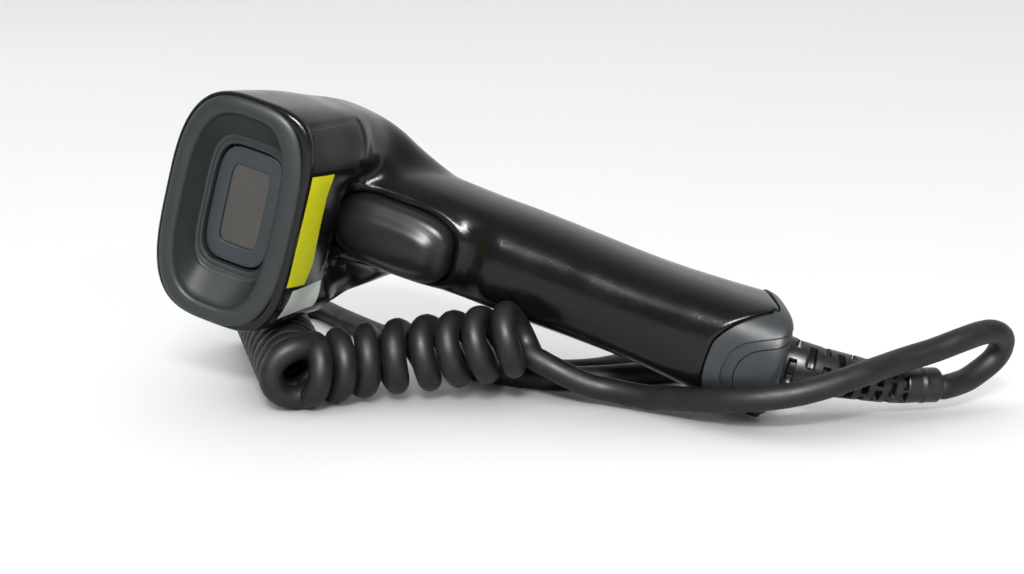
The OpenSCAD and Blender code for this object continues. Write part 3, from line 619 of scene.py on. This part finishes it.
def wrap_loft(rings):
    """A closed ring of rings."""
    n, m = len(rings[0]), len(rings)
    verts = np.concatenate(rings)
    faces = [
        (k * n + i, k * n + (i + 1) % n, ((k + 1) % m) * n + (i + 1) % n, ((k + 1) % m) * n + i)
        for k in range(m)
        for i in range(n)
    ]
    return verts, faces


profile = smooth_path([[1.3, 0.35], [0.95, 0.55], [0.6, 0.95], [0.25, 1.7], [0.02, 2.8], [0.12, 3.9],
                       [0.45, 4.6], [1.0, 5.0], [1.7, 5.25]], 5)
rings = [nose_ring(y, m) for y, m in profile]
mouth, foot = nose_ring(1.7, 5.25), ring_at(7.8, 12.3, 12.3, 20.6, 4.2)
for t in (0.15, 0.35, 0.55, 0.75, 0.88, 0.96):
    rings.append(between(mouth, foot, t))
for y, m in ((7.85, 0), (8.0, 0.15), (8.05, 0.75), (8.15, 0.85), (8.45, 0.9), (8.5, 1.5), (8.6, 1.62),
             (10.4, 1.7)):
    rings.append(ring_at(y, 12.3 - m, 12.3 - m, 20.6 - m * 1.7, 4.4))
rings += [ring_at(12.6, 10.6, 10.6, 17.7, 4.4), ring_at(12.6, 16.2, 16.7, 30.2, 3.1),
          ring_at(1.8, 16.2, 16.7, 30.2, 3.1), nose_ring(1.3, 2.75)]
bezel = sharpen(new_object("bezel", *wrap_loft(rings), matrix=PLACE @ NOSE), 60)

rings = [ring_at(y, a, a, b, n) for y, a, b, n in (
    (10.55, 10.2, 17, 4.2), (10.15, 10.2, 17, 4.2), (9.98, 10.12, 16.92, 4.2), (9.92, 9.9, 16.7, 4.2),
    (9.92, 6.45, 12.1, 6), (9.97, 6.2, 11.9, 6.5), (10.1, 6.1, 11.8, 7), (10.55, 6.1, 11.8, 7))]
plate = sharpen(new_object("plate", *wrap_loft(rings), matrix=PLACE @ NOSE), 50)

# %% Trigger
def trigger_ring(y, m, count=160):
    o = oval(TRIGGER_HALF - m, TRIGGER_HALF - m, 10.75 - m, 3.3 - 0.08 * min(m, 8), count=count)
    return np.column_stack([o[:, 0] + TRIGGER_AT, np.full(len(o), y), o[:, 1]])


profile = smooth_path([[-11.4, 0], [-15.4, 0], [-17.9, 0.12], [-19.3, 0.6], [-20.2, 1.4], [-20.8, 2.3],
                       [-21.4, 3.2], [-22.1, 4.0], [-22.8, 4.8], [-23.4, 5.8], [-23.9, 7.2],
                       [-24.2, 8.7], [-24.3, 10.3]], 5)
trigger = sharpen(new_object("trigger_pad", *loft([trigger_ring(y, m) for y, m in profile]),
                             matrix=PLACE @ HANDLE @ TRIGGER_TURN), 50)

# %% Butt
segments = [(a, unit([b[1] - a[1], a[0] - b[0]])) for a, b in zip(END_LINE[:-1], END_LINE[1:])]


def butt_field(inset):
    def field(p):
        q = moved(p, TO_GRIP)
        side = radial(q[:, 1], q[:, 2], BUTT_REACH - inset, BUTT_HALF_W - inset, BUTT_N)
        end = None
        for a, n in segments:
            f = (q[:, 0] - BUTT_L - a[0]) * n[0] + (q[:, 1] - a[1]) * n[1]
            end = f if end is None else blend_max(end, f, 1.5)
        return np.maximum(blend_max(side, end, 4.5), 96 - q[:, 0])

    return field


def butt_skin(name, inset, size):
    rings = []
    for x in stations(96, 126, 2):
        o = oval(BUTT_REACH - inset, BUTT_REACH - inset, BUTT_HALF_W - inset, BUTT_N)
        rings.append(np.column_stack([np.full(len(o), x), o]))
    lump = new_object(name, *loft(rings), matrix=PLACE @ HANDLE)
    combine(lump, side_cutter(END_LINE, 0), "DIFFERENCE")
    remesh(lump, size)
    return settle(lump, butt_field(inset), 6)


butt_size = 0.45
band = butt_skin("butt", 0.3, butt_size)
pad = butt_skin("butt_pad", 1.1, butt_size)
insert = copy_of(pad, "butt_front")
combine(band, arch_cutter(LEDGE_ARCH), "DIFFERENCE")
combine(pad, arch_cutter(PAD_ARCH), "DIFFERENCE")
combine(band, pad, "UNION")
combine(band, cap_cutter(GAP), "INTERSECT")
combine(insert, arch_cutter(PAD_ARCH, 0.28), "INTERSECT")


def butt_prism(low, high, inset):
    o = oval(BUTT_REACH - inset, BUTT_REACH - inset, BUTT_HALF_W - inset, BUTT_N)
    rings = [np.column_stack([np.full(len(o), x), o]) for x in (low, high)]
    return new_object("butt_prism", *loft(rings), matrix=PLACE @ HANDLE)


def rod(x0, x1, radius, count=64):
    a = np.linspace(0, 2 * np.pi, count, endpoint=False)
    rings = [np.column_stack([np.full(count, x), radius * np.cos(a), radius * np.sin(a)]) for x in (x0, x1)]
    return new_object("rod", *loft(rings), matrix=PLACE @ HANDLE)


# the cap is hollow, and its end wall slopes as its end does
hollow_end = combine(butt_prism(96.5, 115.2, 4.6), side_cutter(END_LINE, 0, -3.2), "DIFFERENCE")
combine(band, hollow_end, "DIFFERENCE")
combine(insert, butt_prism(96.5, 117.5, 2.9), "DIFFERENCE")
# the cable's socket
for piece in (band, insert):
    combine(piece, rod(90, 130, 8.05), "DIFFERENCE")
for piece in (band, insert):
    sharpen(piece, 30)

# %% [markdown]
# ## Strain relief
# A tapered sleeve along the cable's first stretch, with rows of slots.

# %% Strain relief
def framed(path, first_normal):
    """Directions and two sideways directions along a path, turned as little as possible."""
    ways = np.gradient(path, axis=0)
    ways /= np.linalg.norm(ways, axis=1)[:, None]
    n = unit(np.asarray(first_normal) - ways[0] * np.dot(first_normal, ways[0]))
    normals = []
    for w in ways:
        n = unit(n - w * np.dot(n, w))
        normals.append(n)
    normals = np.array(normals)
    return ways, normals, np.cross(ways, normals)


def sleeve(name, path, radius_at, count, first_normal, matrix):
    """A tube along a path; radius_at gives the radii round each ring from the length so far."""
    ways, n, b = framed(path, first_normal)
    length = np.concatenate([[0], np.cumsum(np.linalg.norm(np.diff(path, axis=0), axis=1))])
    a = np.linspace(0, 2 * np.pi, count, endpoint=False)
    rings = []
    for k in range(len(path)):
        r = radius_at(length[k], a)
        rings.append(path[k] + (r * np.cos(a))[:, None] * n[k] + (r * np.sin(a))[:, None] * b[k])
    return new_object(name, *loft(rings), matrix=matrix)


def finer(path, pace):
    length = np.concatenate([[0], np.cumsum(np.linalg.norm(np.diff(path, axis=0), axis=1))])
    s = np.linspace(0, length[-1], int(length[-1] / pace))
    return np.column_stack([np.interp(s, length, path[:, j]) for j in range(3)])


RELIEF_IN, RELIEF_L = 5.5, 48.4
SLOT_PITCH, SLOT_FIRST = 3.9, 6.0
relief_fine = finer(np.vstack([[HANDLE_L - RELIEF_IN, 0, 0], relief_line]), 0.3)
relief_span = RELIEF_IN + RELIEF_L


def relief_radius(s, a):
    """Radii round the sleeve at length s: a taper, a ring near its end and rows of slots."""
    t = np.clip((s - RELIEF_IN) / RELIEF_L, 0, 1)
    base = 7.75 - 2.85 * t / 0.88
    if t > 0.88:
        base = 5.0 + 0.2 * math.exp(-(((t - 0.9) / 0.012) ** 2))
    r = np.full(len(a), base)
    if s > relief_span - 0.8:
        r -= 0.35 * ((s - relief_span + 0.8) / 0.8) ** 2
    k = (s - RELIEF_IN - SLOT_FIRST) / SLOT_PITCH
    row = round(k)
    across = abs(k - row) * SLOT_PITCH
    if 0 <= row <= 8 and across < 1.1:
        depth = min(2.6, base - CORD_R - 0.15) * step(np.array([-across]), -0.95, -0.6)[0]
        half = 3.3 if row < 4 else 2.1
        # rows near the butt have four wide slots, and the others six narrow ones
        lots = 4 if row < 4 else 6
        offset = (row % 2) * math.pi / lots
        near = (a - offset + math.pi / lots) % (2 * math.pi / lots) - math.pi / lots
        r -= depth * step(-np.abs(near) * base, -half - 0.25, -half + 0.1)
    return r


relief = sleeve("relief", relief_fine, relief_radius, 120, [0, 0, 1], PLACE @ HANDLE)
sharpen(relief, 40)

# %% Plug at the cable's end, and the labels
usb_from, usb_to = np.array(tail[-2]), np.array(tail[-1])
USB_Z = 3.9
usb_turn = math.degrees(math.atan2(*(usb_to - usb_from)[::-1]))
USB = shift(*usb_to, USB_Z) @ spin("Z", usb_turn)


def rounded_box(name, low, high, radius, matrix, segments=3):
    bm = bmesh.new()
    bmesh.ops.create_cube(bm, size=1)
    low, high = np.array(low, float), np.array(high, float)
    for v in bm.verts:
        v.co = Vector(moved([(low + high) / 2 + np.array(v.co) * (high - low)], matrix)[0] / 1000)
    bm.normal_update()
    bmesh.ops.bevel(bm, geom=bm.edges[:], offset=radius / 1000, segments=segments, profile=0.6,
                    affect="EDGES")
    mesh = bpy.data.meshes.new(name)
    bm.to_mesh(mesh)
    bm.free()
    obj = bpy.data.objects.new(name, mesh)
    bpy.context.scene.collection.objects.link(obj)
    return sharpen(obj, 50)


grip_box = rounded_box("plug_grip", [8, -7.5, -3.8], [28, 7.5, 3.8], 1.3, USB, 4)
for x in (12, 14.5, 17):
    for side in (-1, 1):
        low, high = [x, side * 8.2 - 1.2, -2.6], [x + 1.1, side * 8.2 + 1.2, 2.6]
        groove = rounded_box("groove", low, high, 0.3, USB, 2)
        combine(grip_box, groove, "DIFFERENCE")
panel = rounded_box("groove", [19.5, -5.2, 3.55], [25.5, 5.2, 4.4], 0.2, USB, 2)
combine(grip_box, panel, "DIFFERENCE")
sharpen(grip_box, 35)
boot_path = np.column_stack([np.linspace(0, 8.3, 60), np.zeros(60), np.full(60, CORD_R - USB_Z)])


def boot_radius(s, a):
    ring = 0.16 * math.cos(2 * math.pi * s / 1.6) if 1 < s < 7.2 else 0.0
    return np.full(len(a), CORD_R - 0.12 + ring - (0.12 if s < 0.3 else 0))


boot = sleeve("plug_boot", boot_path, boot_radius, 64, [0, 0, 1], USB)


def label(name, left, right, lift=0.1, rows=48, columns=16):
    """A thin patch on the head's underside between two edges, given as depth and side."""
    def walk(edge, count):
        edge = np.array(edge, float)
        d = np.concatenate([[0], np.cumsum(np.linalg.norm(np.diff(edge, axis=0), axis=1))])
        s = np.linspace(0, d[-1], count)
        return np.column_stack([np.interp(s, d, edge[:, 0]), np.interp(s, d, edge[:, 1])])

    a, b = walk(left, rows), walk(right, rows)
    across = np.linspace(0, 1, columns)
    grid = np.array([[p + (q - p) * t for t in across] for p, q in zip(a, b)]).reshape(-1, 2)
    layers = []
    for height in (lift, -0.02):
        p = np.column_stack([np.full(len(grid), 39.5), grid])
        for _ in range(14):
            f = body_field(p) - height
            slope = (body_field(p + [0.02, 0, 0]) - body_field(p)) / 0.02
            p[:, 0] -= f / np.maximum(slope, 0.3)
        layers.append(p)
    n, m = rows, columns
    faces = []
    for base, flip in ((0, False), (n * m, True)):
        for i in range(n - 1):
            for j in range(m - 1):
                here, below = base + i * m + j, base + (i + 1) * m + j
                q = [here, here + 1, below + 1, below]
                faces.append(q[::-1] if flip else q)
    rim = [i * m for i in range(n)] + [(n - 1) * m + j for j in range(1, m)]
    rim += [i * m + m - 1 for i in range(n - 2, -1, -1)] + list(range(m - 2, 0, -1))
    faces += [(p, q, q + n * m, p + n * m) for p, q in zip(rim, rim[1:] + rim[:1])]
    return sharpen(new_object(name, np.concatenate(layers), faces), 50)


rating = label("rating_patch", [[8, 29.6], [8, 18.4]], [[28, 29.6], [31, 18]])
caution = label("caution_patch", [[8, 17.2], [8, -16]], [[18.8, 17], [20.8, -11], [18.4, -17]])
serial = label("serial_patch", [[12.2, -17.8], [10.4, -26.8]], [[31, -18.6], [27.2, -25.8]])

# %% [markdown]
# ## Materials
# Every one is made of nodes: colour that varies a little, roughness that varies with handling,
# and fine relief.

# %% Materials
def material(name, colour, rough, grain=900, relief=0.1, height=0.05, metal=0.0, vary=0.12, spots=18,
             rough_vary=0.06, coat=0.0, fine=2.0, detail=3.0, **extra):
    """grain and spots are features per metre; height is the relief's depth in millimetres."""
    mat = bpy.data.materials.new(name)
    mat.use_nodes = True
    nodes, links = mat.node_tree.nodes, mat.node_tree.links
    shader = nodes["Principled BSDF"]
    place = nodes.new("ShaderNodeTexCoord").outputs["Object"]
    shader.inputs["Metallic"].default_value = metal
    shader.inputs["Coat Weight"].default_value = coat
    for key, value in extra.items():
        shader.inputs[key.replace("_", " ")].default_value = value

    def noise(scale, detail=3.0, roughness=0.55):
        n = nodes.new("ShaderNodeTexNoise")
        n.inputs["Scale"].default_value = scale
        n.inputs["Detail"].default_value = detail
        n.inputs["Roughness"].default_value = roughness
        links.new(place, n.inputs["Vector"])
        return n.outputs["Fac"]

    ramp = nodes.new("ShaderNodeValToRGB")
    ramp.color_ramp.elements[0].position = 0.3
    ramp.color_ramp.elements[1].position = 0.7
    ramp.color_ramp.elements[0].color = (*[c * (1 - vary) for c in colour], 1)
    ramp.color_ramp.elements[1].color = (*[min(1, c * (1 + vary)) for c in colour], 1)
    links.new(noise(spots, 5), ramp.inputs["Fac"])
    links.new(ramp.outputs["Color"], shader.inputs["Base Color"])
    spread = nodes.new("ShaderNodeMapRange")
    spread.inputs["From Min"].default_value = 0.3
    spread.inputs["From Max"].default_value = 0.7
    spread.inputs["To Min"].default_value = max(0.02, rough - rough_vary)
    spread.inputs["To Max"].default_value = min(1, rough + rough_vary)
    links.new(noise(spots * 4, 4), spread.inputs["Value"])
    links.new(spread.outputs["Result"], shader.inputs["Roughness"])
    bump = nodes.new("ShaderNodeBump")
    bump.inputs["Strength"].default_value = relief
    bump.inputs["Distance"].default_value = height / 1000
    links.new(noise(grain, detail, 0.5), bump.inputs["Height"])
    last = bump
    if fine:
        small = nodes.new("ShaderNodeBump")
        small.inputs["Strength"].default_value = relief * 0.5
        small.inputs["Distance"].default_value = height / 2500
        links.new(noise(grain * 4.3, fine), small.inputs["Height"])
        links.new(bump.outputs["Normal"], small.inputs["Normal"])
        last = small
    links.new(last.outputs["Normal"], shader.inputs["Normal"])
    return mat


gloss_black = material("gloss_black", (0.006, 0.006, 0.0062), 0.2, grain=1350, relief=0.55, height=0.07,
                       detail=1.5, spots=30, rough_vary=0.05, fine=1.0, Specular_IOR_Level=0.27)
slate = material("slate_plastic", (0.027, 0.0325, 0.0335), 0.46, grain=2600, relief=0.25, height=0.03,
                 spots=25, Specular_IOR_Level=0.3)
plate_slate = material("plate_slate", (0.036, 0.046, 0.052), 0.42, grain=2600, relief=0.2, height=0.03,
                       spots=40, Specular_IOR_Level=0.35)
trigger_slate = material("trigger_slate", (0.0135, 0.0155, 0.0158), 0.36, grain=2400, relief=0.15,
                         height=0.02, spots=30, vary=0.06, rough_vary=0.03, Specular_IOR_Level=0.3)
butt_slate = material("butt_slate", (0.037, 0.042, 0.045), 0.42, grain=2400, relief=0.25, height=0.03,
                      spots=30, Specular_IOR_Level=0.35)
rubber = material("cable_rubber", (0.0062, 0.0062, 0.0063), 0.52, grain=1500, relief=0.22, height=0.04,
                  spots=60, rough_vary=0.08, Specular_IOR_Level=0.35)
relief_rubber = material("relief_rubber", (0.0068, 0.007, 0.0074), 0.38, grain=1700, relief=0.2,
                         height=0.04)
label_black = material("label_black", (0.008, 0.008, 0.0085), 0.4, grain=900, relief=0.12, height=0.03,
                       spots=60, Specular_IOR_Level=0.3)
label_yellow = material("label_yellow", (0.6, 0.6, 0.01), 0.55, grain=900, relief=0.2, height=0.04,
                        vary=0.06, spots=120, Specular_IOR_Level=0.12)
label_silver = material("label_silver", (0.58, 0.61, 0.57), 0.4, grain=1200, relief=0.2, height=0.04,
                        vary=0.05, spots=90)
# black plastic for the real black parts, and also painted shade on the bezel's recess wall round the plate
black_plastic_and_recess_shade = material("black_plastic_and_recess_shade", (0.02, 0.02, 0.022), 0.5, grain=2200, relief=0.3, height=0.03)
grey_plastic = material("grey_plastic", (0.045, 0.047, 0.05), 0.5, grain=2200, relief=0.3, height=0.03)
steel = material("steel", (0.55, 0.56, 0.57), 0.25, metal=1.0, grain=3000, relief=0.15, height=0.02,
                 vary=0.05)
gold = material("gold_contacts", (0.75, 0.52, 0.18), 0.25, metal=1.0, grain=3000, relief=0.1, height=0.02)
brass = material("brass", (0.6, 0.45, 0.2), 0.3, metal=1.0, grain=2500, relief=0.15, height=0.02)
chip = material("chip_black", (0.013, 0.013, 0.014), 0.45, grain=4000, relief=0.3, height=0.02)
foam = material("gasket_foam", (0.015, 0.015, 0.016), 0.85, grain=1600, relief=0.7, height=0.15)
glass = material("lens_glass", (0.02, 0.022, 0.03), 0.04, grain=500, relief=0.02, height=0.01, coat=1.0)
window = material("window_glass", (0.06, 0.056, 0.05), 0.08, grain=120, relief=0.05, height=0.02, vary=0.14,
                  spots=45, rough_vary=0.02)
led = material("led_lens", (0.75, 0.72, 0.6), 0.15, grain=900, relief=0.05, height=0.02)
lamp = material("light_pipe", (0.55, 0.58, 0.55), 0.12, grain=700, relief=0.05, height=0.02,
                Transmission_Weight=0.5)
white_plastic = material("white_plastic", (0.7, 0.71, 0.72), 0.4, grain=1800, relief=0.15, height=0.02,
                         vary=0.04)


def board_material(name, mask, trace):
    """A circuit board: solder mask with fine tracks and pads."""
    mat = material(name, mask, 0.32, grain=2500, relief=0.15, height=0.02)
    nodes, links = mat.node_tree.nodes, mat.node_tree.links
    shader = nodes["Principled BSDF"]
    place = next(n for n in nodes if n.bl_idname == "ShaderNodeTexCoord").outputs["Object"]
    tracks = nodes.new("ShaderNodeTexVoronoi")
    tracks.feature = "DISTANCE_TO_EDGE"
    tracks.distance = "EUCLIDEAN"
    tracks.inputs["Scale"].default_value = 420
    links.new(place, tracks.inputs["Vector"])
    edge = nodes.new("ShaderNodeValToRGB")
    edge.color_ramp.elements[0].position = 0.04
    edge.color_ramp.elements[1].position = 0.07
    edge.color_ramp.elements[0].color = (*trace, 1)
    edge.color_ramp.elements[1].color = (*mask, 1)
    links.new(tracks.outputs["Distance"], edge.inputs["Fac"])
    links.new(edge.outputs["Color"], shader.inputs["Base Color"])
    return mat


green_board = board_material("green_board", (0.012, 0.1, 0.045), (0.035, 0.2, 0.08))
amber_flex = board_material("amber_flex", (0.42, 0.17, 0.03), (0.62, 0.33, 0.1))


def dress(obj, mat):
    if not obj.data.materials:
        obj.data.materials.append(mat)
    for k in range(len(obj.data.materials)):
        obj.data.materials[k] = mat


for names, mat in (
    ("engine_chassis inner_frame switch_body", grey_plastic),
    ("cord_jack cord_plug plug_latch", black_plastic_and_recess_shade), ("image_sensor processor_chip memory_chip", chip),
    ("lens_barrel beeper", black_plastic_and_recess_shade), ("lens", glass), ("illumination_leds", led),
    ("laser_aimer", brass), ("engine_board main_board", green_board),
    ("board_screws trigger_pin trigger_spring usb_shell", steel), ("flex_cable", amber_flex),
    ("status_lamp", lamp), ("switch_plunger usb_tongue", white_plastic), ("jack_contacts", gold),
    ("window_gasket", foam), ("scan_window", window),
):
    for name in names.split():
        dress(NODES[name], mat)
for obj, mat in ((body, gloss_black), (rear, gloss_black), (bezel, slate), (plate, plate_slate),
                 (trigger, trigger_slate), (band, butt_slate), (insert, butt_slate), (relief, relief_rubber),
                 (cable, rubber), (grip_box, black_plastic_and_recess_shade), (boot, relief_rubber), (rating, label_black),
                 (caution, label_yellow), (serial, label_silver)):
    dress(obj, mat)
# painted shade: the wall of the recess round the plate is coloured black, as if it lay deep in shadow
bezel.data.materials.append(black_plastic_and_recess_shade)
depths = moved([face.center * 1000 for face in bezel.data.polygons], (PLACE @ NOSE).inverted())[:, 1]
for face, depth in zip(bezel.data.polygons, depths):
    if 9 < depth < 10.2:
        face.material_index = 1

# %% [markdown]
# ## Table, light, and the parts put on their bodies

# %% Table and light
def flat(name, size, z, mat):
    mesh = bpy.data.meshes.new(name)
    corners = [(-size, -size, z), (size, -size, z), (size, size, z), (-size, size, z)]
    mesh.from_pydata(corners, [], [(0, 1, 2, 3)])
    obj = bpy.data.objects.new(name, mesh)
    bpy.context.scene.collection.objects.link(obj)
    dress(obj, mat)
    return obj


table = material("table", (0.83, 0.835, 0.83), 0.7, grain=60, relief=0.02, height=0.05, vary=0.01, spots=3)
flat("table", 6, 0, table)

world = bpy.data.worlds.new("world")
bpy.context.scene.world = world
world.use_nodes = True
nodes, links = world.node_tree.nodes, world.node_tree.links
room = nodes["Background"]
room.inputs["Color"].default_value = (0.97, 0.985, 1, 1)
# the room is bright behind the scanner and dimmer in front of it
way = nodes.new("ShaderNodeTexCoord")
along = nodes.new("ShaderNodeVectorMath")
along.operation = "DOT_PRODUCT"
along.inputs[1].default_value = (-0.53, 0.85, 0.05)
brightness = nodes.new("ShaderNodeMapRange")
for key, value in (("From Min", 0.02), ("From Max", 0.7), ("To Min", 0.32), ("To Max", 1.0)):
    brightness.inputs[key].default_value = value
links.new(way.outputs["Generated"], along.inputs[0])
links.new(along.outputs["Value"], brightness.inputs["Value"])
links.new(brightness.outputs["Result"], room.inputs["Strength"])


def softbox(name, place, target, size_x, size_y, power):
    light = bpy.data.lights.new(name, "AREA")
    light.shape = "RECTANGLE"
    light.size, light.size_y = size_x, size_y
    light.energy = power
    obj = bpy.data.objects.new(name, light)
    obj.location = place
    obj.rotation_euler = (Vector(target) - Vector(place)).to_track_quat("-Z", "Y").to_euler()
    bpy.context.scene.collection.objects.link(obj)
    return obj


KEY_AT, KEY_AIM = (0.45, -0.82, 0.74), (0.0, 0, 0.04)
softbox("key", KEY_AT, KEY_AIM, 0.3, 0.15, 6.5)
top = softbox("top", (0, 0.8, 3.2), (0, 0.8, 0), 7, 7, 105)
top.visible_glossy = False
# a card that only the gloss sees
streak = softbox("streak", KEY_AT, KEY_AIM, 0.5, 0.24, 32)
streak.visible_diffuse = False
softbox("left", (-1.5, -0.3, 0.7), (0, 0, 0.05), 0.7, 0.7, 3)
softbox("glint", (0.95, -0.75, 0.62), (0.03, 0.02, 0.05), 0.1, 0.1, 2)

# %% Parts on their bodies, and the CAD parts they replace hidden
SCANNER = [body, rear, bezel, plate, band, insert, relief, rating, caution, serial, cable, grip_box, boot]
for obj in SCANNER:
    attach(obj, "scanner")
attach(trigger, "trigger")
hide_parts("front_shell")
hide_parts("rear_cover")
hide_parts("nose_bezel")
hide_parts("window_plate")
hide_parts("butt_cap")
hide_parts("butt_insert")
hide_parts("strain_relief")
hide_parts("rating_label")
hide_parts("caution_label")
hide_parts("serial_label")
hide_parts("trigger")
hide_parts("cord_lead", "cord_curl_front", "cord_curl_back", "cord_tail")
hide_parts("usb_grip")
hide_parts("usb_boot")
